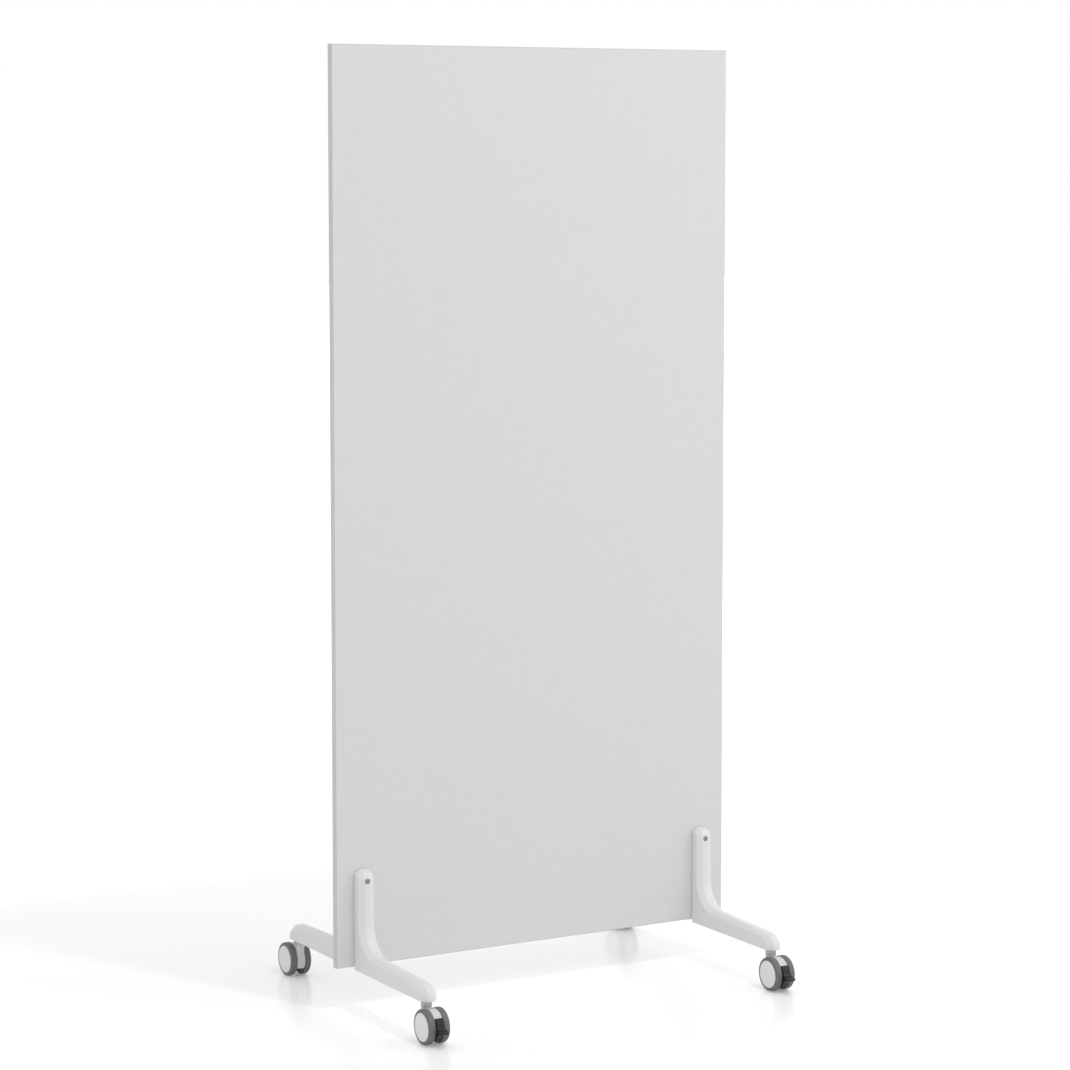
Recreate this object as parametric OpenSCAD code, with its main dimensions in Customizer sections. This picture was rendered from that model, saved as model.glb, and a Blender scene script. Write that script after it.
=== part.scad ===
// Rolling partition: a tall board held by four cast feet, each on a braked twin-wheel caster.
// Millimetres. X runs along the board, the front faces -Y, Z is up and the floor is z = 0.

/* [Panel] */
// width of the board
panel_w = 900; // [600:10:1200]
// height of the board itself
panel_h = 1800; // [900:10:2100]
// thickness of the board over both facings
panel_t = 16; // [14:1:22]
// thickness of each facing sheet
facing_t = 0.8; // [0.6:0.1:1.2]
// thickness of the edge strips
band_t = 2; // [1:0.5:3]

/* [Feet] */
// from the side edge of the board to the flank of a foot
foot_inset = 38; // [20:1:80]
// width of a foot
foot_w = 36; // [30:1:44]
// width of the chamfers along both outer edges of a foot
chamfer_w = 11.5; // [8:0.5:12]
// depth of those chamfers
chamfer_d = 7.5; // [4:0.5:10]
// how far the upright arm stands out from the board
arm_d = 25; // [20:1:30]
// height of a foot from its underside to the top of its arm
foot_h = 200; // [170:5:240]
// radius of the rounded top of the arm
arm_round = 20; // [14:1:20]
// radius of the hollow curve between arm and leg
heel_r = 60; // [40:5:80]
// height of the leg where that curve ends
leg_h = 37; // [30:1:44]
// fall of the top of the leg, in degrees
leg_slope = 1.8; // [0:0.2:2]
// from the middle of the board to the stem of a caster
stem_reach = 276; // [220:2:320]
// from the stem to the end of the leg
toe = 21; // [18:1:30]
// length of the rounded end of the leg
toe_round = 37; // [20:1:50]
// height of the upright face under the rounded end
toe_face = 2.5; // [1:0.5:6]
// length of the side cuts at the end of the leg
nose_cut = 13; // [10:1:18]
// how far the leg hangs below the board
leg_drop = 6; // [4:1:12]

/* [Fasteners] */
// thread of the foot screws
screw_d = 6; // [5:1:8]
// head of the foot screws
head_d = 10.5; // [10.5:0.5:14]
// how deep the heads are let into the arm
head_sink = 2.3; // [1:0.1:3]
// from the top of the arm down to the screw
screw_drop = 20.6; // [20:0.2:30]
// outside of the threaded sleeve in the board
sleeve_d = 10; // [10:0.5:12]
// locating dowel
dowel_d = 8; // [6:1:10]
// how far the dowel goes into each foot
dowel_bite = 6; // [4:1:10]
// height of the dowel above the lower edge of the board
dowel_h = 26; // [20:1:60]

/* [Casters] */
// outside of the tyres
wheel_d = 68; // [64:1:74]
// how far the axle trails behind the stem
trail = 22; // [20:1:24]
// free width between the two wheels
wheel_gap = 18; // [17:0.5:22]
// width of a tyre
tyre_w = 13.5; // [12:0.5:16]
// rubber thickness of a tyre
tyre_wall = 5; // [4:0.5:6]
// disc that closes the wheel
cover_t = 2; // [1.5:0.1:2.5]
// swivel neck
neck_d = 21.5; // [18:0.5:21.5]
// height of the swivel neck
neck_h = 11.6; // [9:0.2:20]
// stem, which is a turned steel pin
stem_d = 10; // [8:0.5:10]
// length of the stem inside the foot
stem_bite = 18; // [14:1:22]
// axle of the two wheels
axle_d = 8; // [6:1:9]
// pin of the brake pedal
pedal_pin_d = 4; // [3:0.5:5]
// how far the pedal lip stands out beyond the tyres
lip_reach = 22.5; // [14:0.5:28]
// corner radius of the pedal lip, seen from above
lip_round = 4; // [2:0.5:6]

/* [Fits] */
// play round a pin that turns or slides
run_fit = 0.05; // [0.03:0.01:0.09]
// side play between pieces that pass each other
side_gap = 0.3; // [0.2:0.05:0.5]

/* [Hidden] */
$fn = 64;
wheel_r = wheel_d / 2;
k = wheel_r / 34;

// caster, across: everything is measured from its middle plane
s_in = wheel_gap / 2;
s_out = s_in + tyre_w;
cover_out = s_out + side_gap;
cover_in = cover_out - cover_t;
body_half = s_in - 0.5;
cheek_t = 2.8;
slot_half = body_half - cheek_t;
arm_half = slot_half - 0.5;
plate_half = body_half - side_gap;

// caster, seen from the side: everything is measured from the axle
rim_r = wheel_r - tyre_wall;
rim_in = rim_r - 2.5;
hood_r = wheel_r - 1.7;
hood_in = hood_r - 3.8;
cheek_r = hood_in - 0.5;
boss_r = axle_d / 2 + 4;
pivot = [20 * k, 8 * k];
peg = [7.3 * k, 19.2 * k];
peg_far = [9.9 * k, 21.6 * k];
peg_r = 2.5;
hood_from = 38.5;
hood_to = 205;

// caster, heights above the floor
neck_z = wheel_r + hood_r + 0.4;
neck_top = neck_z + neck_h;
flange_t = 1.4;
leg_z = neck_top + side_gap + flange_t;
stem_z = wheel_r + 7;
ring_z = stem_z + 3;
ring_t = 1.2;
ring_in = stem_d / 2 - 0.8;

// panel and feet
panel_z = leg_z + leg_drop;
half_t = panel_t / 2;
core_t = panel_t - 2 * facing_t;
board_w = panel_w - 2 * band_t;
board_h = panel_h - 2 * band_t;
band_r = band_t * 0.9;
foot_x = panel_w / 2 - foot_inset - foot_w / 2;
arm_u = half_t + arm_d;
foot_top = leg_z + foot_h;
screw_z = foot_top - screw_drop;
dowel_z = panel_z + dowel_h;
head_u = arm_u - head_sink;

function arc(c, r, a0, a1, n) = [for (i = [0:n])
    [c[0] + r * cos(a0 + (a1 - a0) * i / n), c[1] + r * sin(a0 + (a1 - a0) * i / n)]];

// An arc of radius r from a to b, with its centre on the left of that way.
function hollow(a, b, r, n) =
    let (way = b - a,
        c = (a + b) / 2 + [-way[1], way[0]] / norm(way) * sqrt(r * r - way * way / 4),
        from = a - c,
        to = b - c)
    arc(c, r, atan2(from[1], from[0]), atan2(to[1], to[0]), n);

// Places a piece at a foot. side is -1 left or 1 right, dir is -1 front or 1 back.
// Inside, y runs outward from the middle of the board.
module at_foot(side, dir) {
    translate([side * foot_x, 0, 0])
        rotate([0, 0, dir > 0 ? 0 : 180])
            children();
}

// The same, with y = 0 at the stem of the caster.
module at_caster(side, dir) {
    at_foot(side, dir)
        translate([0, stem_reach, 0])
            children();
}

// A flat shape drawn in the side view of a caster, round its axle, made w wide.
module across(w) {
    translate([0, trail, wheel_r])
        rotate([90, 0, 90])
            linear_extrude(w, center = true)
                children();
}

// A round shape, turned on the axle, on one side of the caster (s is -1 or 1).
module turned(s) {
    translate([0, trail, wheel_r])
        rotate([0, 90 * s, 0])
            rotate_extrude()
                children();
}

module ring_sector(r0, r1, a0, a1) {
    intersection() {
        difference() {
            circle(r1);
            circle(r0);
        }
        polygon(concat([[0, 0]], arc([0, 0], 2 * r1, a0, a1, 8)));
    }
}

// ---- panel ----

module board_sheet(t, y) {
    difference() {
        translate([-board_w / 2, y - t / 2, panel_z + band_t])
            cube([board_w, t, board_h]);
        for (x = [-foot_x, foot_x]) {
            translate([x, 0, screw_z])
                rotate([90, 0, 0])
                    cylinder(d = sleeve_d + 2 * run_fit, h = 3 * panel_t, center = true);
            translate([x, 0, dowel_z])
                rotate([90, 0, 0])
                    cylinder(d = dowel_d + 2 * run_fit, h = 3 * panel_t, center = true);
        }
    }
}

module panel_core() {
    color([0.76, 0.62, 0.45])
        board_sheet(core_t, 0);
}

module facing(side) {
    color([0.86, 0.86, 0.86])
        board_sheet(facing_t, side * (half_t - facing_t / 2));
}

// Section of an edge strip: x runs outward from the board, y across its thickness.
module band_section() {
    intersection() {
        translate([0, -half_t])
            square([band_t, panel_t]);
        union() {
            translate([-band_t, -half_t])
                square([2 * band_t - band_r, panel_t]);
            translate([0, -half_t + band_r])
                square([band_t, panel_t - 2 * band_r]);
            for (y = [-1, 1])
                translate([band_t - band_r, y * (half_t - band_r)])
                    circle(band_r);
        }
    }
}

module edge_bands() {
    color([0.8, 0.8, 0.8]) {
        for (s = [0, 180])
            rotate([0, 0, s])
                translate([board_w / 2, 0, panel_z])
                    linear_extrude(panel_h)
                        band_section();
        for (end = [0, 1])
            translate([0, 0, panel_z + band_t + end * board_h])
                rotate([0, end > 0 ? -90 : 90, 0])
                    linear_extrude(board_w - 0.2, center = true)
                        band_section();
    }
}

// ---- feet ----

// Side outline of a foot, clockwise from the lower back corner. cut draws it in by the chamfer.
// The leg ends in a quarter of an ellipse that runs on from its sloping top.
function foot_line(cut, nose) =
    let (up = [sin(leg_slope), cos(leg_slope)],
        heel = [arm_u + heel_r, leg_z + leg_h + heel_r],
        toe_len = toe_round - cut,
        toe_mid = [stem_reach + toe - nose - toe_len, leg_z + toe_face],
        reach = (heel - toe_mid) * up - heel_r - cut,
        toe_h = sqrt(pow(reach, 2) - pow(toe_len * up[0], 2)) / up[1],
        from = atan2(toe_h * up[1], toe_len * up[0]))
    concat([[half_t, leg_z], [half_t, foot_top - cut]],
        arc([arm_u - arm_round, foot_top - arm_round], arm_round - cut, 90, 0, 10),
        arc(heel, heel_r + cut, 180, 270 - leg_slope, 20),
        [for (p = arc([0, 0], 1, from, 0, 14))
            [toe_mid[0] + toe_len * p[0], toe_mid[1] + toe_h * p[1]]],
        [[stem_reach + toe - nose, leg_z]]);

module foot_casting() {
    inner = foot_line(chamfer_d, nose_cut);
    full = foot_line(0, 0);
    n = len(full);
    flat = foot_w / 2 - chamfer_w;
    xs = [-foot_w / 2, -flat, flat, foot_w / 2];
    lines = [inner, full, full, inner];
    polyhedron(
        points = [for (j = [0:3]) for (p = lines[j]) [xs[j], p[0], p[1]]],
        faces = concat(
            [for (i = [1:n - 2]) [0, i + 1, i]],
            [for (i = [1:n - 2]) [3 * n, 3 * n + i, 3 * n + i + 1]],
            [for (j = [0:2]) for (i = [0:n - 1])
                [j * n + i, j * n + (i + 1) % n, (j + 1) * n + (i + 1) % n, (j + 1) * n + i]]));
}

module foot() {
    color([0.84, 0.84, 0.84])
        difference() {
            foot_casting();
            // screw, its head and the dowel
            translate([0, 0, screw_z])
                rotate([-90, 0, 0])
                    cylinder(d = screw_d + 0.4, h = arm_u + 5);
            translate([0, head_u, screw_z])
                rotate([-90, 0, 0])
                    cylinder(d = head_d + 0.6, h = 10);
            translate([0, 0, dowel_z])
                rotate([-90, 0, 0])
                    cylinder(d = dowel_d + 2 * run_fit, h = half_t + dowel_bite + 0.2);
            // stem
            translate([0, stem_reach, leg_z - 1])
                cylinder(d = stem_d + 2 * run_fit, h = stem_bite + 2);
        }
}

module foot_screw() {
    translate([0, head_u, screw_z])
        rotate([-90, 0, 0])
            difference() {
                union() {
                    rotate_extrude()
                        polygon(concat([[0, 0], [head_d / 2, 0], [head_d / 2, 0.8]],
                            arc([head_d / 2 - 2.5, 0.8], 2.5, 0, 90, 4), [[0, 3.3]]));
                    translate([0, 0, 1.5 - head_u])
                        cylinder(d = screw_d, h = head_u - 1.5);
                }
                translate([0, 0, 1.3])
                    cylinder(d = 4 / cos(30), h = 5, $fn = 6);
            }
}

module foot_screws() {
    color([0.2, 0.2, 0.21])
        for (side = [-1, 1])
            for (dir = [-1, 1])
                at_foot(side, dir)
                    foot_screw();
}

module threaded_sleeves() {
    color([0.7, 0.7, 0.72])
        for (side = [-1, 1])
            translate([side * foot_x, 0, screw_z])
                rotate([90, 0, 0])
                    difference() {
                        cylinder(d = sleeve_d, h = panel_t, center = true);
                        cylinder(d = screw_d + 2 * run_fit, h = panel_t + 2, center = true);
                    }
}

module locating_dowels() {
    color([0.7, 0.7, 0.72])
        for (side = [-1, 1])
            translate([side * foot_x, 0, dowel_z])
                rotate([90, 0, 0])
                    cylinder(d = dowel_d, h = panel_t + 2 * dowel_bite, center = true);
}

// ---- casters ----

module caster_stem() {
    translate([0, 0, leg_z - flange_t])
        cylinder(d = stem_d + 7, h = flange_t);
    translate([0, 0, leg_z - flange_t])
        cylinder(d = stem_d, h = flange_t + stem_bite);
    rotate_extrude()
        polygon([[0, stem_z], [stem_d / 2 - 1, stem_z], [stem_d / 2, stem_z + 1],
            [stem_d / 2, ring_z], [ring_in, ring_z], [ring_in, ring_z + ring_t],
            [stem_d / 2, ring_z + ring_t], [stem_d / 2, leg_z - flange_t], [0, leg_z - flange_t]]);
}

module caster_stems() {
    color([0.72, 0.72, 0.74])
        for (side = [-1, 1])
            for (dir = [-1, 1])
                at_caster(side, dir)
                    caster_stem();
}

module stem_rings() {
    color([0.5, 0.5, 0.52])
        for (side = [-1, 1])
            for (dir = [-1, 1])
                at_caster(side, dir)
                    translate([0, 0, ring_z])
                        difference() {
                            cylinder(d = stem_d + 0.7, h = ring_t);
                            translate([0, 0, -1])
                                cylinder(r = ring_in + run_fit, h = ring_t + 2);
                            translate([-1, 0, -1])
                                cube([2, stem_d, ring_t + 2]);
                        }
}

module caster_neck() {
    color([0.6, 0.6, 0.61])
        rotate_extrude()
            polygon(concat([[stem_d / 2 + run_fit, neck_z], [neck_d / 2, neck_z]],
                arc([neck_d / 2 - 2.5, neck_top - 2.5], 2.5, 0, 90, 5),
                [[stem_d / 2 + run_fit, neck_top]]));
}

module caster_housing() {
    color([0.82, 0.82, 0.82])
        difference() {
            union() {
                // hood over the gap between the wheels
                across(2 * body_half)
                    ring_sector(hood_in, hood_r, hood_from, hood_to);
                // two cheeks that hold the axle and the pedal pin
                for (s = [-1, 1])
                    translate([s * (body_half - cheek_t / 2), 0, 0])
                        across(cheek_t)
                            intersection() {
                                union() {
                                    circle(cheek_r);
                                    ring_sector(cheek_r - 1, hood_in + 1, hood_from, hood_to);
                                }
                                translate([-2 * wheel_r, -11 * k])
                                    square([4 * wheel_r, 4 * wheel_r]);
                            }
                // post round the stem
                intersection() {
                    translate([0, 0, wheel_r - 15 * k])
                        cylinder(d = neck_d - 0.5, h = neck_z - wheel_r + 15 * k);
                    translate([-body_half, -neck_d, 0])
                        cube([2 * body_half, 2 * neck_d, neck_z]);
                }
                across(2 * body_half)
                    circle(boss_r);
            }
            // room for the tail of the pedal
            across(2 * slot_half)
                intersection() {
                    circle(hood_in);
                    translate([-2 * wheel_r, -2 * wheel_r])
                        square([2 * wheel_r - boss_r, 2 * wheel_r + 3 * k]);
                }
            // stem and the groove of its ring
            translate([0, 0, stem_z - 1])
                cylinder(d = stem_d + 2 * run_fit, h = neck_z);
            translate([0, 0, ring_z - 0.4])
                cylinder(d = stem_d + 1.2, h = ring_t + 0.8);
            // axle and pedal pin, which are fixed here
            across(4 * body_half)
                circle(d = axle_d + 0.02);
            across(4 * body_half)
                translate(pivot)
                    circle(d = pedal_pin_d + 0.02);
            // windows that the brake pegs pass through
            across(4 * body_half)
                translate((peg + peg_far) / 2)
                    circle(peg_r + 2.3);
            // shallow line down the back of the post
            translate([-1.5, -neck_d, wheel_r - 12 * k])
                cube([3, neck_d / 2 + 1.3, 38 * k]);
        }
}

module caster_axle() {
    color([0.72, 0.72, 0.74])
        across(2 * (cover_in - side_gap))
            circle(d = axle_d);
}

module pedal_pin() {
    color([0.72, 0.72, 0.74])
        across(2 * body_half)
            translate(pivot)
                circle(d = pedal_pin_d);
}

module rounded_plate(w, h, r) {
    square([w - 2 * r, h], center = true);
    square([w, h - 2 * r], center = true);
    for (x = [-1, 1])
        for (y = [-1, 1])
            translate([x * (w / 2 - r), y * (h / 2 - r)])
                circle(r);
}

module brake_pedal() {
    tip = wheel_r + lip_reach;
    nose = arc([tip - 2.2, -2.9 * k], 2.2, 82, -65, 8);
    chin = arc([0, 0], wheel_r + 1.8, -24, -42, 5);
    color([0.2, 0.2, 0.2])
        difference() {
            union() {
                // face plate and lip, with rounded corners seen from outside and from above
                intersection() {
                    across(2 * plate_half)
                        polygon(concat(arc([0, 0], wheel_r + 2.2, 36.5, 13, 6),
                            arc([wheel_r + 8, 7.4 * k], 6, 187, 262, 8),
                            nose,
                            hollow(nose[8], chin[0], wheel_r + 6, 8),
                            chin,
                            arc([0, 0], wheel_r - 1, -42, 36.5, 14)));
                    translate([0, 200, wheel_r])
                        rotate([90, 0, 0])
                            linear_extrude(200)
                                rounded_plate(2 * plate_half, 1.3 * wheel_r, 3);
                    translate([0, trail, 0])
                        linear_extrude(wheel_d)
                            rounded_plate(2 * plate_half, 2 * tip, lip_round);
                }
                // core that carries the pin, the nose and the tail
                across(2 * arm_half) {
                    ring_sector(15 * k, wheel_r - 0.4, -52, 34);
                    ring_sector(16.5 * k, 23.5 * k, 33, 80);
                    ring_sector(19 * k, 27 * k, 220, 310);
                    translate(peg)
                        circle(peg_r + 1.5);
                }
                // pegs that press on both rims
                across(2 * (s_in + 3))
                    translate(peg)
                        circle(peg_r);
            }
            across(6 * plate_half)
                translate(pivot)
                    circle(d = pedal_pin_d + 2 * run_fit);
        }
}

// ---- wheels ----

module wheel_hub(s) {
    bore = axle_d / 2 + run_fit;
    color([0.7, 0.7, 0.7]) {
        turned(s)
            polygon([[bore, s_in - 0.2], [boss_r, s_in - 0.2], [boss_r, s_in + 5],
                [rim_in, s_in + 5], [rim_in, s_in + 0.3], [rim_r, s_in + 0.3],
                [rim_r, cover_in], [rim_in, cover_in], [rim_in, s_in + 7],
                [boss_r, s_in + 7], [boss_r, cover_in], [bore, cover_in]]);
        // ribs on the outer side, under the cover
        translate([s * (s_in + 6.5), trail, wheel_r])
            for (a = [0:60:300])
                rotate([a, 0, 0])
                    translate([s > 0 ? 0 : -(cover_in - s_in - 7.5), boss_r - 0.5, -0.9])
                        cube([cover_in - s_in - 7.5, rim_in - boss_r + 1, 1.8]);
    }
}

module tyre(s) {
    color([0.35, 0.35, 0.35])
        turned(s)
            polygon(concat([[rim_r, s_in + 0.3], [wheel_r - 1.5, s_in], [wheel_r, s_in + 1.5]],
                arc([wheel_r - 4, s_out - 4], 4, 0, 90, 6),
                [[rim_r - 1.2, s_out], [rim_r - 1.2, cover_in], [rim_r, cover_in]]));
}

// A shallow dish inside a raised rim.
module wheel_cover(s) {
    r = rim_r - 1.5;
    rim = 1.6;
    dish = 0.4;
    color([0.84, 0.84, 0.84])
        turned(s)
            polygon([[0, cover_in], [r, cover_in], [r, cover_out - 0.5], [r - 0.7, cover_out],
                [r - rim, cover_out], [r - rim - 2 * dish, cover_out - dish],
                [0, cover_out - dish / 4]]);
}

panel_core();
facing(-1);  // front_facing
facing(1);  // back_facing
edge_bands();
at_foot(-1, -1) foot();  // foot_front_left
at_foot(1, -1) foot();  // foot_front_right
at_foot(-1, 1) foot();  // foot_back_left
at_foot(1, 1) foot();  // foot_back_right
foot_screws();
threaded_sleeves();
locating_dowels();
caster_stems();
stem_rings();
at_caster(-1, -1) caster_neck();  // caster_neck_fl
at_caster(1, -1) caster_neck();  // caster_neck_fr
at_caster(-1, 1) caster_neck();  // caster_neck_bl
at_caster(1, 1) caster_neck();  // caster_neck_br
at_caster(-1, -1) caster_housing();  // caster_housing_fl
at_caster(1, -1) caster_housing();  // caster_housing_fr
at_caster(-1, 1) caster_housing();  // caster_housing_bl
at_caster(1, 1) caster_housing();  // caster_housing_br
at_caster(-1, -1) caster_axle();  // caster_axle_fl
at_caster(1, -1) caster_axle();  // caster_axle_fr
at_caster(-1, 1) caster_axle();  // caster_axle_bl
at_caster(1, 1) caster_axle();  // caster_axle_br
at_caster(-1, -1) pedal_pin();  // pedal_pin_fl
at_caster(1, -1) pedal_pin();  // pedal_pin_fr
at_caster(-1, 1) pedal_pin();  // pedal_pin_bl
at_caster(1, 1) pedal_pin();  // pedal_pin_br
at_caster(-1, -1) brake_pedal();  // brake_pedal_fl
at_caster(1, -1) brake_pedal();  // brake_pedal_fr
at_caster(-1, 1) brake_pedal();  // brake_pedal_bl
at_caster(1, 1) brake_pedal();  // brake_pedal_br
// At the front the caster is turned round, so its left wheel is on the positive side.
at_caster(-1, -1) wheel_hub(1);  // wheel_hub_fl_left
at_caster(-1, -1) wheel_hub(-1);  // wheel_hub_fl_right
at_caster(1, -1) wheel_hub(1);  // wheel_hub_fr_left
at_caster(1, -1) wheel_hub(-1);  // wheel_hub_fr_right
at_caster(-1, 1) wheel_hub(-1);  // wheel_hub_bl_left
at_caster(-1, 1) wheel_hub(1);  // wheel_hub_bl_right
at_caster(1, 1) wheel_hub(-1);  // wheel_hub_br_left
at_caster(1, 1) wheel_hub(1);  // wheel_hub_br_right
at_caster(-1, -1) tyre(1);  // tyre_fl_left
at_caster(-1, -1) tyre(-1);  // tyre_fl_right
at_caster(1, -1) tyre(1);  // tyre_fr_left
at_caster(1, -1) tyre(-1);  // tyre_fr_right
at_caster(-1, 1) tyre(-1);  // tyre_bl_left
at_caster(-1, 1) tyre(1);  // tyre_bl_right
at_caster(1, 1) tyre(-1);  // tyre_br_left
at_caster(1, 1) tyre(1);  // tyre_br_right
at_caster(-1, -1) wheel_cover(1);  // wheel_cover_fl_left
at_caster(-1, -1) wheel_cover(-1);  // wheel_cover_fl_right
at_caster(1, -1) wheel_cover(1);  // wheel_cover_fr_left
at_caster(1, -1) wheel_cover(-1);  // wheel_cover_fr_right
at_caster(-1, 1) wheel_cover(-1);  // wheel_cover_bl_left
at_caster(-1, 1) wheel_cover(1);  // wheel_cover_bl_right
at_caster(1, 1) wheel_cover(-1);  // wheel_cover_br_left
at_caster(1, 1) wheel_cover(1);  // wheel_cover_br_right
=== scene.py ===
"""Looks of the rolling partition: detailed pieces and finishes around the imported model.

Metres, in the frame of the model: X runs along the board, the front faces -Y, the floor is z = 0.
Angles are in degrees unless a function of math gives them.
"""

import math

import bmesh
import bpy
from mathutils import Matrix, Vector


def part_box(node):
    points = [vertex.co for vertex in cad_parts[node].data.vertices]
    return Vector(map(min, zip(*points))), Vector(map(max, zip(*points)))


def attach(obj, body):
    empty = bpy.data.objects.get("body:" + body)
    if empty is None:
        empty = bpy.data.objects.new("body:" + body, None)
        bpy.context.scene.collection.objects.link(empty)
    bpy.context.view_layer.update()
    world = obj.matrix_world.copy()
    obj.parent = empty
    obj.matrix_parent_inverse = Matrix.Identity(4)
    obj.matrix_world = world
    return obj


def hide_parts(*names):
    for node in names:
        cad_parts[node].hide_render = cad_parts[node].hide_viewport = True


MM = 0.001
WHITE = (1, 1, 1, 1)

# ---- the photograph's viewpoint ----
CAMERA_PLACE = (-3.218, -5.578, 1.691)
CAMERA_YAW = 30.008
CAMERA_PITCH = 5.732
CAMERA_LENS = 108.74
CAMERA_SENSOR = 36
CAMERA_SHIFT = -0.06

# ---- light ----
AMBIENT = 0.71
# each lamp: where it is, how large across and how strong
LAMPS = {
    "key": ((0.8, -3.0, 6.8), 0.5, 62.0),
    "fill": ((3.75, -2.5, 3.05), 3.2, 38.0),
}
AIM = (0, 0, 0.9)

# ---- floor ----
FLOOR_REACH = 30.0
FLOOR_WHITE = 0.96
FLOOR_ROUGHNESS = 0.2
FLOOR_IOR = 1.3
# the floor's own glow near the object and far off, and the distances between which it grows
FLOOR_GLOW = (0.19, 0.6)
FLOOR_FADE = (1.8, 5.0)

CORNERS = ("fl", "fr", "bl", "br")
FEET = {
    "fl": "foot_front_left",
    "fr": "foot_front_right",
    "bl": "foot_back_left",
    "br": "foot_back_right",
}

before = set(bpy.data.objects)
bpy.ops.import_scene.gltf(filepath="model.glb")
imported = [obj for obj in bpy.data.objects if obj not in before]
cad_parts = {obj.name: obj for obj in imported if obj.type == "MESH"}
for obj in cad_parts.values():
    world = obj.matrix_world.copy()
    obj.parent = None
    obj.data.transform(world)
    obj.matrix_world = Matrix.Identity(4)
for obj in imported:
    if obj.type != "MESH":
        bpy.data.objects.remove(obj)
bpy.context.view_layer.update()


# ---- sizes that come from the frame ----

def middle(node):
    low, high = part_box(node)
    return (low + high) / 2


def size(node):
    low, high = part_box(node)
    return high - low


def side_of(corner):
    """-1 at the left end of the board, seen from the front, and 1 at the right."""
    return -1 if corner[1] == "l" else 1


def way_of(corner):
    """-1 at the front, where the caster is turned round, and 1 at the back."""
    return -1 if corner[0] == "f" else 1


half_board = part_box("back_facing")[1].y
stem_reach = abs(middle("caster_neck_bl").y)
foot_x = abs(middle("caster_neck_bl").x)
axle = middle("caster_axle_bl")
wheel_r = axle.z

foot_low, foot_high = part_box("foot_back_left")
leg_z = foot_low.z
foot_top = foot_high.z
foot_end = foot_high.y
foot_w = foot_high.x - foot_low.x

# ---- sizes of the feet ----
arm_d = 25 * MM
arm_round = 20 * MM
arm_face = half_board + arm_d
heel_r = 60 * MM
leg_h = 37 * MM
leg_slope = 1.8
# the end of the leg: how far it is rounded, and the upright face under that
toe_round = 37 * MM
toe_face = 2.5 * MM
# the chamfers along both flanks, which also cut back the end of the leg
chamfer_w = 11.5 * MM
chamfer_d = 7.5 * MM
nose_cut = 13 * MM
edge_soft = 2.2 * MM
edge_steps = 6
back_round = 3.5 * MM
hole_round = 0.5 * MM

# ---- sizes of the screws ----
screw_r = 3.0 * MM
# the tip ends short of the middle of the board, where the screw of the other foot comes from
tip_short = 1.5 * MM
tip_cut = 0.5 * MM
screw_head_r = 5.25 * MM
head_h = 3.3 * MM
head_sink = 2.3 * MM
head_edge = 0.15 * MM
skirt_h = 0.8 * MM
dome_r = 2.5 * MM
socket_across = 4.0 * MM
socket_floor = 1.3 * MM
socket_past = 1.7 * MM
socket_round = 0.08 * MM
head_seat = arm_face - head_sink

# ---- radii of the holes, and gaps round what they hold ----
stem_bore = 5.05 * MM
screw_bore = 3.2 * MM
head_gap = 0.3 * MM
dowel_gap = 0.05 * MM
dowel_end_gap = 0.2 * MM
end_gap = 1 * MM

# ---- sizes of the casters ----
neck_edge = 2.5 * MM
neck_cut = 0.4 * MM
# the groove round a neck: depth and height above its lower face, in mm
neck_groove = [(0, 3.2), (0.25, 3.45), (0.25, 3.9), (0, 4.15)]
tyre_h = 5 * MM
tyre_inner_round = 1.5 * MM
tyre_shoulder = 4 * MM
tyre_edge = 0.3 * MM
tyre_flat = 0.1 * MM
lip_h = 1.2 * MM
lip_depth = 1.7 * MM
# two rings of points round the tread: how far inward of its middle, and how far to either side of there
tread_off = 1 * MM
tread_half = 0.35 * MM
cover_rim = 1.6 * MM
cover_round = 0.7 * MM
cover_edge = 0.2 * MM
dish_depth = 0.35 * MM
# the way down from the rim: mm inward and share of the depth
dish_slope = ((0.3, 0.5), (0.7, 1))
# from there it rises again by this share, through rings at these shares of the radius
dish_rise = 0.75
dish_rings = (0.85, 0.7, 0.55, 0.4, 0.25, 0.12, 0)
housing_round = 0.45 * MM
pedal_round = 0.4 * MM


# ---- mesh helpers ----

def new_object(name, data):
    piece = bpy.data.objects.new(name, data)
    bpy.context.scene.collection.objects.link(piece)
    return piece


def mesh_from(name, points, faces):
    mesh = bpy.data.meshes.new(name)
    mesh.from_pydata([tuple(p) for p in points], [], faces)
    mesh.update()
    return mesh


def tidy(mesh, angle):
    """Outward normals, smooth faces and crisp edges where the surface turns by more than angle."""
    work = bmesh.new()
    work.from_mesh(mesh)
    bmesh.ops.remove_doubles(work, verts=work.verts, dist=1e-6)
    bmesh.ops.recalc_face_normals(work, faces=work.faces)
    work.to_mesh(mesh)
    work.free()
    mesh.shade_smooth()
    mesh.set_sharp_from_angle(angle=math.radians(angle))
    return mesh


def baked(piece, name):
    """The piece's mesh with its modifiers in it, as a new mesh; the piece itself goes."""
    graph = bpy.context.evaluated_depsgraph_get()
    mesh = bpy.data.meshes.new_from_object(piece.evaluated_get(graph))
    mesh.name = name
    bpy.data.objects.remove(piece)
    return mesh


def rounded(mesh, width, angle, segments=3):
    """The mesh with every edge sharper than angle rounded off."""
    piece = new_object("work", mesh)
    bevel = piece.modifiers.new("round", "BEVEL")
    bevel.width = width
    bevel.segments = segments
    bevel.limit_method = "ANGLE"
    bevel.angle_limit = math.radians(angle)
    bevel.use_clamp_overlap = True
    bpy.context.view_layer.update()
    return baked(piece, mesh.name)


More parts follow.
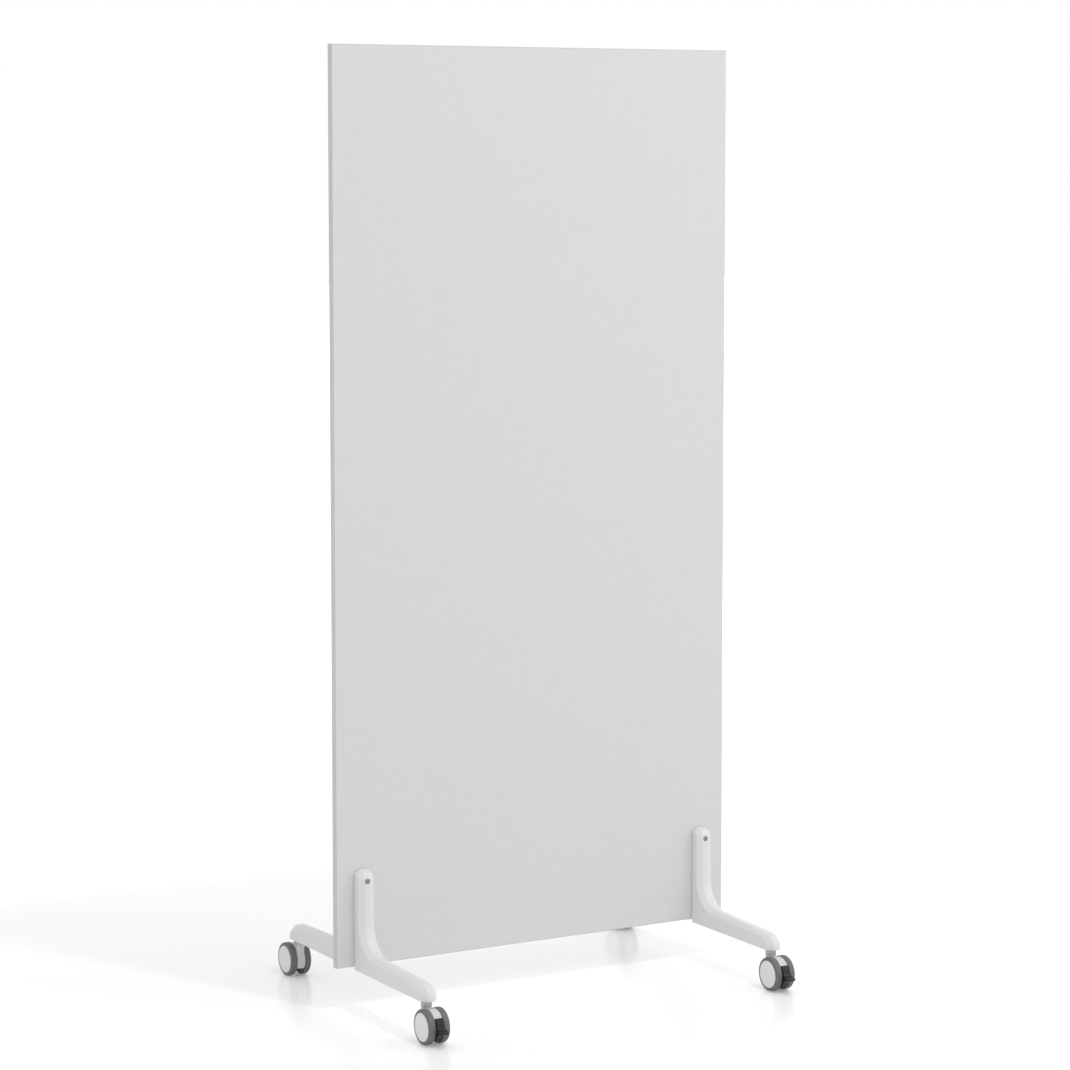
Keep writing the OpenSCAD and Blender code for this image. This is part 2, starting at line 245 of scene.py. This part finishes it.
def weighted(mesh):
    """The mesh with normals led by its large faces, which then look flat beside rounded edges."""
    piece = new_object("work", mesh)
    normals = piece.modifiers.new("normals", "WEIGHTED_NORMAL")
    normals.keep_sharp = True
    bpy.context.view_layer.update()
    return baked(piece, mesh.name)


def cut(mesh, cutter):
    """The mesh without what lies inside the cutter."""
    piece = new_object("work", mesh)
    tool = new_object("tool", cutter)
    boolean = piece.modifiers.new("cut", "BOOLEAN")
    boolean.operation = "DIFFERENCE"
    boolean.solver = "EXACT"
    boolean.object = tool
    bpy.context.view_layer.update()
    result = baked(piece, mesh.name)
    bpy.data.objects.remove(tool)
    return result


def arc(centre, radius, start, end, steps):
    """Points of an arc in a plane."""
    turn = [math.radians(start + (end - start) * i / steps) for i in range(steps + 1)]
    return [(centre[0] + radius * math.cos(a), centre[1] + radius * math.sin(a)) for a in turn]


def outline_arc(centre, radius, start, end, steps):
    """Points of an arc round (x, radius) for the outline of a turned shape."""
    return [(r, x) for x, r in arc(centre, radius, start, end, steps)]


def bend(curve, t):
    """The point at share t of a curve that three points lead."""
    return tuple(a * (1 - t) ** 2 + 2 * b * t * (1 - t) + c * t ** 2 for a, b, c in zip(*curve))


def turned(name, outline, steps, closed=True):
    """A round shape about the X axis. Its outline is (radius, x); a closed one joins its ends."""
    points, faces = [], []
    count = len(outline)
    for i in range(steps):
        a = 2 * math.pi * i / steps
        points += [(x, r * math.cos(a), r * math.sin(a)) for r, x in outline]
    for i in range(steps):
        here, there = i * count, (i + 1) % steps * count
        for j in range(count if closed else count - 1):
            k = (j + 1) % count
            faces.append((here + j, here + k, there + k, there + j))
    mesh = mesh_from(name, points, faces)
    work = bmesh.new()
    work.from_mesh(mesh)
    bmesh.ops.remove_doubles(work, verts=work.verts, dist=1e-7)
    bmesh.ops.dissolve_degenerate(work, dist=1e-7, edges=work.edges)
    work.to_mesh(mesh)
    work.free()
    return mesh


def rod(name, start, end, radius, steps=48):
    """A closed cylinder from start to end."""
    work = bmesh.new()
    start, end = Vector(start), Vector(end)
    turn = (end - start).to_track_quat("Z", "Y").to_matrix().to_4x4()
    bmesh.ops.create_cone(
        work, cap_ends=True, segments=steps, radius1=radius, radius2=radius,
        depth=(end - start).length, matrix=Matrix.Translation((start + end) / 2) @ turn)
    mesh = bpy.data.meshes.new(name)
    work.to_mesh(mesh)
    work.free()
    return mesh


def joined(name, meshes):
    """One mesh of several that don't meet."""
    work = bmesh.new()
    for mesh in meshes:
        work.from_mesh(mesh)
    result = bpy.data.meshes.new(name)
    work.to_mesh(result)
    work.free()
    return result


def welded(node, name):
    """A CAD node's shape as a new mesh, its facets joined and its flat faces made whole."""
    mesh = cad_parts[node].data.copy()
    mesh.name = name
    work = bmesh.new()
    work.from_mesh(mesh)
    bmesh.ops.remove_doubles(work, verts=work.verts, dist=2e-6)
    bmesh.ops.dissolve_limit(
        work, angle_limit=math.radians(0.5), verts=work.verts, edges=work.edges, delimit={"NORMAL"})
    work.to_mesh(mesh)
    work.free()
    mesh.materials.clear()
    return mesh


# ---- finishes ----

def new_node(tree, kind, **values):
    """A node with values on its inputs; an underscore in an input's name stands for a space."""
    node = tree.nodes.new(kind)
    for name, value in values.items():
        node.inputs[name.replace("_", " ")].default_value = value
    return node


class Finish:
    """A material with one Principled shader and noise in the object's own coordinates."""

    # the part of the noise's range in which colour and roughness go from low to high
    NOISE_LOW, NOISE_HIGH = 0.35, 0.65
    # detail of the noise in the colour, unless it is given, and in roughness and relief
    COLOUR_DETAIL, SURFACE_DETAIL = 3.0, 2.0

    def __init__(self, name, roughness, metallic=0.0, **values):
        self.material = bpy.data.materials.new(name)
        self.material.use_nodes = True
        self.tree = self.material.node_tree
        self.shader = self.tree.nodes["Principled BSDF"]
        self.shader.inputs["Roughness"].default_value = roughness
        self.shader.inputs["Metallic"].default_value = metallic
        for name, value in values.items():
            self.shader.inputs[name].default_value = value
        self.place = self.tree.nodes.new("ShaderNodeTexCoord").outputs["Object"]
        self.bump = None

    def link(self, output, target):
        self.tree.links.new(output, target)

    def noise(self, scale, detail, stretch):
        mapping = new_node(self.tree, "ShaderNodeMapping", Scale=stretch)
        self.link(self.place, mapping.inputs["Vector"])
        node = new_node(self.tree, "ShaderNodeTexNoise", Scale=scale, Detail=detail)
        self.link(mapping.outputs["Vector"], node.inputs["Vector"])
        return node.outputs["Fac"]

    def colour(self, low, high, scale, detail=COLOUR_DETAIL, stretch=(1, 1, 1)):
        """Colour that wanders between low and high."""
        node = self.tree.nodes.new("ShaderNodeValToRGB")
        ends = ((self.NOISE_LOW, low), (self.NOISE_HIGH, high))
        for element, (position, value) in zip(node.color_ramp.elements, ends):
            element.position = position
            element.color = (*value, 1)
        self.link(self.noise(scale, detail, stretch), node.inputs["Fac"])
        self.link(node.outputs["Color"], self.shader.inputs["Base Color"])
        return self

    def sheen(self, low, high, scale, stretch=(1, 1, 1)):
        """Roughness that wanders between low and high."""
        node = new_node(self.tree, "ShaderNodeMapRange", From_Min=self.NOISE_LOW,
                        From_Max=self.NOISE_HIGH, To_Min=low, To_Max=high)
        self.link(self.noise(scale, self.SURFACE_DETAIL, stretch), node.inputs["Value"])
        self.link(node.outputs["Result"], self.shader.inputs["Roughness"])
        return self

    def relief(self, scale, depth, strength, stretch=(1, 1, 1)):
        """Fine unevenness; a second one adds to the first."""
        node = new_node(self.tree, "ShaderNodeBump", Strength=strength, Distance=depth)
        self.link(self.noise(scale, self.SURFACE_DETAIL, stretch), node.inputs["Height"])
        if self.bump:
            self.link(self.bump, node.inputs["Normal"])
        self.bump = node.outputs["Normal"]
        self.link(self.bump, self.shader.inputs["Normal"])
        return self


def grey(value):
    return (value, value, value)


def laminate():
    return (Finish("laminate", 0.45)
            .colour(grey(0.760), grey(0.770), 60)
            .sheen(0.42, 0.50, 900)
            .relief(1400, 0.02 * MM, 0.5)
            .relief(260, 0.03 * MM, 0.35).material)


def edge_strip():
    return (Finish("edge_strip", 0.38)
            # the colour is darker than the laminate's: painted shade for the ends of the board, which
            # face away from the lamps; the strip is the same white as the facing
            .colour(grey(0.645), grey(0.665), 30)
            .sheen(0.34, 0.42, 300)
            .relief(900, 0.015 * MM, 0.5).material)


def chipboard():
    return (Finish("chipboard", 0.8)
            .colour((0.36, 0.24, 0.13), (0.62, 0.47, 0.29), 500, 5.0, (1, 1, 3))
            .relief(700, 0.2 * MM, 0.6).material)


def powder_coat():
    return (Finish("powder_coat", 0.4)
            .colour(grey(0.838), grey(0.852), 18)
            .sheen(0.36, 0.44, 500)
            .relief(750, 0.05 * MM, 0.35).material)


def dark_screw():
    return (Finish("dark_screw", 0.42, 0.6)
            .colour(grey(0.29), grey(0.35), 900)
            .sheen(0.36, 0.5, 1500)
            .relief(2500, 0.02 * MM, 0.4).material)


def steel():
    return (Finish("steel", 0.3, 1.0)
            .colour(grey(0.52), grey(0.60), 300, stretch=(1, 1, 12))
            .sheen(0.24, 0.36, 600, stretch=(1, 1, 20))
            .relief(900, 0.01 * MM, 0.4, stretch=(1, 1, 25)).material)


def neck_metal():
    return (Finish("neck_metal", 0.42, 0.35)
            .colour(grey(0.51), grey(0.55), 250, stretch=(1, 1, 6))
            .sheen(0.38, 0.48, 700)
            .relief(1200, 0.015 * MM, 0.4, stretch=(1, 1, 14)).material)


def housing_plastic():
    return (Finish("housing_plastic", 0.42)
            .colour(grey(0.72), grey(0.75), 120)
            .sheen(0.38, 0.48, 900)
            .relief(1600, 0.03 * MM, 0.4).material)


def hub_plastic():
    return (Finish("hub_plastic", 0.45)
            .colour(grey(0.50), grey(0.54), 120)
            .sheen(0.4, 0.5, 900)
            .relief(1600, 0.03 * MM, 0.4).material)


def tyre_rubber():
    return (Finish("tyre_rubber", 0.55)
            .colour(grey(0.159), grey(0.171), 900, 5.0)
            .sheen(0.50, 0.60, 1500)
            .relief(2600, 0.03 * MM, 0.5).material)


def cover_plastic():
    return (Finish("cover_plastic", 0.36)
            .colour(grey(0.885), grey(0.90), 90)
            .sheen(0.32, 0.42, 900)
            .relief(1800, 0.02 * MM, 0.35).material)


def pedal_plastic():
    return (Finish("pedal_plastic", 0.42, IOR=1.4)
            .colour(grey(0.016), grey(0.022), 200)
            .sheen(0.36, 0.48, 900)
            .relief(2000, 0.03 * MM, 0.5).material)


# the finish of each material slot
FINISHES = {
    "board": chipboard(),
    "facing": laminate(),
    "edge_strip": edge_strip(),
    "foot_casting": powder_coat(),
    "black_screw": dark_screw(),
    "steel": steel(),
    "neck_metal": neck_metal(),
    "housing_plastic": housing_plastic(),
    "pedal_plastic": pedal_plastic(),
    "hub_plastic": hub_plastic(),
    "tyre_rubber": tyre_rubber(),
    "cover_plastic": cover_plastic(),
}


def finish_nodes():
    """Every CAD node gets the finish of the slot it was packed with."""
    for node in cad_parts.values():
        for place in node.material_slots:
            place.material = FINISHES[place.material.name.split(".")[0]]


def dress(mesh, slot):
    """The mesh with the finish of a slot."""
    mesh.materials.clear()
    mesh.materials.append(FINISHES[slot])
    return mesh


def stand_in(name, mesh, body, node, place):
    """A piece that rides on a body and takes the place of a CAD node, if one is named."""
    piece = new_object(name, mesh)
    piece.matrix_world = place
    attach(piece, body)
    if node:
        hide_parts(node)


# ---- where things stand ----

def at_foot(corner):
    """From the frame of a foot, where y runs outward from the middle of the board."""
    turn = Matrix.Rotation(0 if way_of(corner) > 0 else math.pi, 4, "Z")
    return Matrix.Translation((side_of(corner) * foot_x, 0, 0)) @ turn


def at_axle(corner, outward):
    """From the frame of a wheel, which is centred on the axle and looks outward along +X."""
    centre = Matrix.Translation((0, axle.y, axle.z))
    turn = Matrix.Rotation(0 if outward > 0 else math.pi, 4, "Z")
    return at_foot(corner) @ centre @ turn


# ---- feet ----

def foot_line(inset, nose):
    """Side outline of a foot, drawn in by inset, with its end cut back by nose.

    The end is part of an ellipse, toe_len long and toe_h high, that the top of the leg touches.
    """
    up = Vector((math.sin(math.radians(leg_slope)), math.cos(math.radians(leg_slope))))
    heel = Vector((arm_face + heel_r, leg_z + leg_h + heel_r))
    toe_len = toe_round - inset
    toe_mid = Vector((foot_end - nose - toe_len, leg_z + toe_face))
    reach = (heel - toe_mid).dot(up) - heel_r - inset
    toe_h = math.sqrt(reach ** 2 - (toe_len * up.x) ** 2) / up.y
    start = math.degrees(math.atan2(toe_h * up.y, toe_len * up.x))
    toe = arc((0, 0), 1, start, 0, steps=28)
    return ([(half_board, leg_z), (half_board, foot_top - inset)]
            + arc((arm_face - arm_round, foot_top - arm_round), arm_round - inset, 90, 0, steps=20)
            + arc(heel, heel_r + inset, 180, 270 - leg_slope, steps=40)
            + [(toe_mid.x + toe_len * a, toe_mid.y + toe_h * b) for a, b in toe]
            + [(foot_end - nose, leg_z)])


def soft_chamfer():
    """Section across a foot as (x, share of the chamfer), both edges of the chamfer rounded."""
    flat, flank = foot_w / 2 - chamfer_w, foot_w / 2
    along = edge_soft / math.hypot(chamfer_w, chamfer_d)
    first = [(flat - edge_soft, 0.0), (flat, 0.0), (flat + along * chamfer_w, along)]
    last = [(flank - along * chamfer_w, 1 - along), (flank, 1.0), (flank, 1 + edge_soft / chamfer_d)]
    return [bend(curve, i / edge_steps) for curve in (first, last) for i in range(edge_steps + 1)]


def ease_back(mesh):
    """Rounds the edges of the face that sits against the board, which leaves a fine groove there."""
    flat_angle, touching = math.radians(0.01), 1e-6
    work = bmesh.new()
    work.from_mesh(mesh)
    flat = [edge for edge in work.edges if edge.calc_face_angle() < flat_angle]
    bmesh.ops.dissolve_edges(work, edges=flat, use_verts=True)
    outline = [edge for edge in work.edges
               if all(abs(end.co.y - half_board) < touching for end in edge.verts)]
    bmesh.ops.bevel(work, geom=outline, offset=back_round, segments=5, profile=0.5, affect="EDGES")
    work.to_mesh(mesh)
    work.free()
    return mesh


def foot_holes():
    """What the screw, its head, the dowel and the stem take out of a foot."""
    screw = middle("threaded_sleeves").z
    dowel = middle("locating_dowels").z
    dowel_r = size("locating_dowels").z / 2 + dowel_gap
    dowel_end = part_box("locating_dowels")[1].y + dowel_end_gap
    stem_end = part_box("caster_stems")[1].z + end_gap
    # these two ends lie anywhere outside the foot
    seat_out = head_seat + 20 * MM
    stem_out = leg_z - 5 * MM
    return joined("holes", [
        rod("bore", (0, 0, screw), (0, head_seat + end_gap, screw), screw_bore),
        rod("seat", (0, head_seat, screw), (0, seat_out, screw), screw_head_r + head_gap, steps=64),
        rod("dowel", (0, 0, dowel), (0, dowel_end, dowel), dowel_r),
        rod("stem", (0, stem_reach, stem_out), (0, stem_reach, stem_end), stem_bore)])


def foot_mesh():
    """A foot, lofted across its width through outlines that follow the chamfers."""
    half = soft_chamfer()
    sections = [(-x, share) for x, share in reversed(half)] + half
    points, faces = [], []
    for x, share in sections:
        points += [(x, y, z) for y, z in foot_line(share * chamfer_d, share * nose_cut)]
    count = len(points) // len(sections)
    last = len(points) - count
    for start in range(0, last, count):
        for i in range(count):
            k = (i + 1) % count
            faces.append((start + i, start + k, start + count + k, start + count + i))
    faces.append(tuple(reversed(range(count))))
    faces.append(tuple(range(last, last + count)))
    mesh = tidy(ease_back(tidy(mesh_from("foot", points, faces), angle=40)), angle=40)
    return weighted(tidy(rounded(cut(mesh, foot_holes()), hole_round, angle=55), angle=35))


# ---- screws ----

def screw_mesh():
    """A button-head screw with a hexagon socket, along X, its head's seat at x = 0."""
    outline = [(0, -(head_seat - tip_short)),
               (screw_r - tip_cut, -(head_seat - tip_short)),
               (screw_r, -(head_seat - (tip_short + tip_cut))),
               (screw_r, 0),
               (screw_head_r - head_edge, 0),
               (screw_head_r, head_edge),
               *arc((screw_head_r - dome_r, skirt_h), dome_r, 0, 90, steps=14),
               (0, head_h)]
    body = tidy(turned("foot_screw", outline, steps=64, closed=False), angle=35)
    socket_r = socket_across / math.sqrt(3)
    socket = rod("socket", (socket_floor, 0, 0), (head_h + socket_past, 0, 0), socket_r, steps=6)
    return tidy(rounded(cut(body, socket), socket_round, angle=50, segments=2), angle=35)


# ---- casters ----

def wheel_faces(piece):
    """How far from the middle of its caster a wheel piece starts and ends."""
    low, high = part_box(f"{piece}_bl_right")
    return low.x + foot_x, high.x + foot_x


def neck_mesh():
    """Swivel neck about the X axis, from its lower face at x = 0."""
    radius = size("caster_neck_bl").x / 2
    height = size("caster_neck_bl").z
    outline = [(stem_bore, 0), (radius - neck_cut, 0), (radius, neck_cut),
               *[(radius - depth * MM, x * MM) for depth, x in neck_groove],
               *outline_arc((height - neck_edge, radius - neck_edge), neck_edge, 90, 0, steps=12),
               (stem_bore + neck_cut, height), (stem_bore, height - neck_cut)]
    return tidy(turned("caster_neck", outline, steps=96), angle=25)


def tyre_mesh():
    """A tyre round the axle: x runs outward from the middle of the caster."""
    inner, outer = wheel_faces("tyre")
    rim_r = wheel_r - tyre_h
    lip_r = rim_r - lip_h
    seat_x = outer - lip_depth
    tread_x = (inner + outer) / 2 - tread_off
    inner_arc = (inner + tyre_inner_round, wheel_r - tyre_inner_round)
    outer_arc = (outer - tyre_shoulder, wheel_r - tyre_shoulder)
    outline = [(rim_r, inner + tyre_edge), (wheel_r - (tyre_inner_round + tyre_flat), inner),
               *outline_arc(inner_arc, tyre_inner_round, 180, 90, steps=8),
               (wheel_r, tread_x - tread_half), (wheel_r, tread_x + tread_half),
               *outline_arc(outer_arc, tyre_shoulder, 90, 0, steps=16),
               (lip_r + tyre_edge, outer), (lip_r, outer - tyre_edge), (lip_r, seat_x), (rim_r, seat_x)]
    return tidy(turned("tyre", outline, steps=160), angle=35)


def cover_mesh():
    """The disc that closes a wheel: a shallow dish inside a raised rim."""
    inner, outer = wheel_faces("wheel_cover")
    radius = size("wheel_cover_bl_left").z / 2
    dish_r = radius - cover_rim
    edge_arc = (outer - cover_round, radius - cover_round)
    outline = [(0, inner), (radius - cover_edge, inner), (radius, inner + cover_edge),
               *outline_arc(edge_arc, cover_round, 90, 0, steps=8),
               (dish_r, outer),
               *[(dish_r - inward * MM, outer - dish_depth * share) for inward, share in dish_slope],
               *[(radius * share, outer - dish_depth * (1 - dish_rise * (1 - share ** 2)))
                 for share in dish_rings]]
    return tidy(turned("wheel_cover", outline, steps=128, closed=False), angle=35)


def moulded(node, name, width):
    """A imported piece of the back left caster, in the frame of its foot, with rounded edges."""
    mesh = welded(node, name)
    mesh.transform(at_foot("bl").inverted())
    return weighted(tidy(rounded(mesh, width, angle=40), angle=32))


# ---- the pieces in their places ----

def build_feet():
    mesh = dress(foot_mesh(), "foot_casting")
    for corner in CORNERS:
        stand_in(f"{FEET[corner]}_casting", mesh, "stand", FEET[corner], at_foot(corner))


def build_screws():
    mesh = dress(screw_mesh(), "black_screw")
    seat = Matrix.Translation((0, head_seat, middle("threaded_sleeves").z))
    along_y = Matrix.Rotation(math.pi / 2, 4, "Z")
    for corner in CORNERS:
        stand_in(f"foot_screw_{corner}", mesh, "stand",
                 "foot_screws" if corner == "fl" else None, at_foot(corner) @ seat @ along_y)


def build_casters():
    neck = dress(neck_mesh(), "neck_metal")
    housing = dress(moulded("caster_housing_bl", "caster_housing", housing_round), "housing_plastic")
    pedal = dress(moulded("brake_pedal_bl", "brake_pedal", pedal_round), "pedal_plastic")
    tyre = dress(tyre_mesh(), "tyre_rubber")
    cover = dress(cover_mesh(), "cover_plastic")
    neck_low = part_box("caster_neck_bl")[0].z
    up = Matrix.Rotation(-math.pi / 2, 4, "Y")
    for corner in CORNERS:
        at_stem = at_foot(corner) @ Matrix.Translation((0, stem_reach, neck_low)) @ up
        stand_in(f"caster_neck_{corner}_turned", neck, f"caster_{corner}",
                 f"caster_neck_{corner}", at_stem)
        stand_in(f"caster_housing_{corner}_moulded", housing, f"caster_{corner}",
                 f"caster_housing_{corner}", at_foot(corner))
        stand_in(f"brake_pedal_{corner}_moulded", pedal, f"pedal_{corner}",
                 f"brake_pedal_{corner}", at_foot(corner))
        for side, right in (("left", -1), ("right", 1)):
            place = at_axle(corner, right * way_of(corner))
            wheel = f"{corner}_{side}"
            stand_in(f"tyre_{wheel}_moulded", tyre, f"wheel_{wheel}",
                     f"tyre_{wheel}", place)
            stand_in(f"wheel_cover_{wheel}_moulded", cover, f"wheel_{wheel}",
                     f"wheel_cover_{wheel}", place)


# ---- studio ----

def seen_directly(tree):
    """1 for rays from the camera and through gloss or glass, 0 for rays that light the object."""
    rays = tree.nodes.new("ShaderNodeLightPath")
    value = rays.outputs["Is Camera Ray"]
    for name in ("Is Glossy Ray", "Is Transmission Ray"):
        most = tree.nodes.new("ShaderNodeMath")
        most.operation = "MAXIMUM"
        tree.links.new(value, most.inputs[0])
        tree.links.new(rays.outputs[name], most.inputs[1])
        value = most.outputs[0]
    return value


def build_world():
    """Grey light all round, in front of a white backdrop."""
    world = bpy.data.worlds.new("studio")
    bpy.context.scene.world = world
    world.use_nodes = True
    tree = world.node_tree
    tree.nodes.clear()
    light = new_node(tree, "ShaderNodeBackground", Strength=AMBIENT, Color=WHITE)
    backdrop = new_node(tree, "ShaderNodeBackground", Strength=1.0, Color=WHITE)
    mix = tree.nodes.new("ShaderNodeMixShader")
    tree.links.new(seen_directly(tree), mix.inputs["Fac"])
    tree.links.new(light.outputs[0], mix.inputs[1])
    tree.links.new(backdrop.outputs[0], mix.inputs[2])
    output = tree.nodes.new("ShaderNodeOutputWorld")
    tree.links.new(mix.outputs[0], output.inputs["Surface"])


def floor_finish():
    """Pale polished floor that fades into the white backdrop away from the object."""
    material = bpy.data.materials.new("studio_floor")
    material.use_nodes = True
    tree = material.node_tree
    shader = tree.nodes["Principled BSDF"]
    shader.inputs["Base Color"].default_value = (*grey(FLOOR_WHITE), 1)
    shader.inputs["Roughness"].default_value = FLOOR_ROUGHNESS
    shader.inputs["IOR"].default_value = FLOOR_IOR
    shader.inputs["Emission Color"].default_value = WHITE
    place = tree.nodes.new("ShaderNodeTexCoord").outputs["Object"]
    distance = tree.nodes.new("ShaderNodeVectorMath")
    distance.operation = "LENGTH"
    tree.links.new(place, distance.inputs[0])
    fade = new_node(tree, "ShaderNodeMapRange", From_Min=FLOOR_FADE[0], From_Max=FLOOR_FADE[1],
                    To_Min=FLOOR_GLOW[0], To_Max=FLOOR_GLOW[1])
    fade.interpolation_type = "SMOOTHSTEP"
    tree.links.new(distance.outputs["Value"], fade.inputs["Value"])
    glow = tree.nodes.new("ShaderNodeMath")
    glow.operation = "MULTIPLY"
    tree.links.new(seen_directly(tree), glow.inputs[0])
    tree.links.new(fade.outputs["Result"], glow.inputs[1])
    tree.links.new(glow.outputs[0], shader.inputs["Emission Strength"])
    return material


def build_floor():
    ends = ((-1, -1), (1, -1), (1, 1), (-1, 1))
    mesh = mesh_from("floor", [(FLOOR_REACH * x, FLOOR_REACH * y, 0) for x, y in ends], [(0, 1, 2, 3)])
    mesh.materials.append(floor_finish())
    new_object("floor", mesh)


def build_lamps():
    for name, (place, across, power) in LAMPS.items():
        lamp = bpy.data.lights.new(name, "AREA")
        lamp.shape = "DISK"
        lamp.size = across
        lamp.energy = power
        holder = new_object(name, lamp)
        holder.location = place
        holder.rotation_euler = (Vector(AIM) - Vector(place)).to_track_quat("-Z", "Y").to_euler()


def build_camera():
    data = bpy.data.cameras.new("camera")
    data.sensor_width = CAMERA_SENSOR
    data.lens = CAMERA_LENS
    data.shift_y = CAMERA_SHIFT
    camera = new_object("camera", data)
    camera.location = CAMERA_PLACE
    camera.rotation_euler = (math.radians(90 - CAMERA_PITCH), 0, math.radians(-CAMERA_YAW))
    bpy.context.scene.camera = camera


finish_nodes()
build_feet()
build_screws()
build_casters()
build_world()
build_floor()
build_lamps()
build_camera()
bpy.context.scene.view_settings.view_transform = "Standard"

bpy.context.view_layer.update()
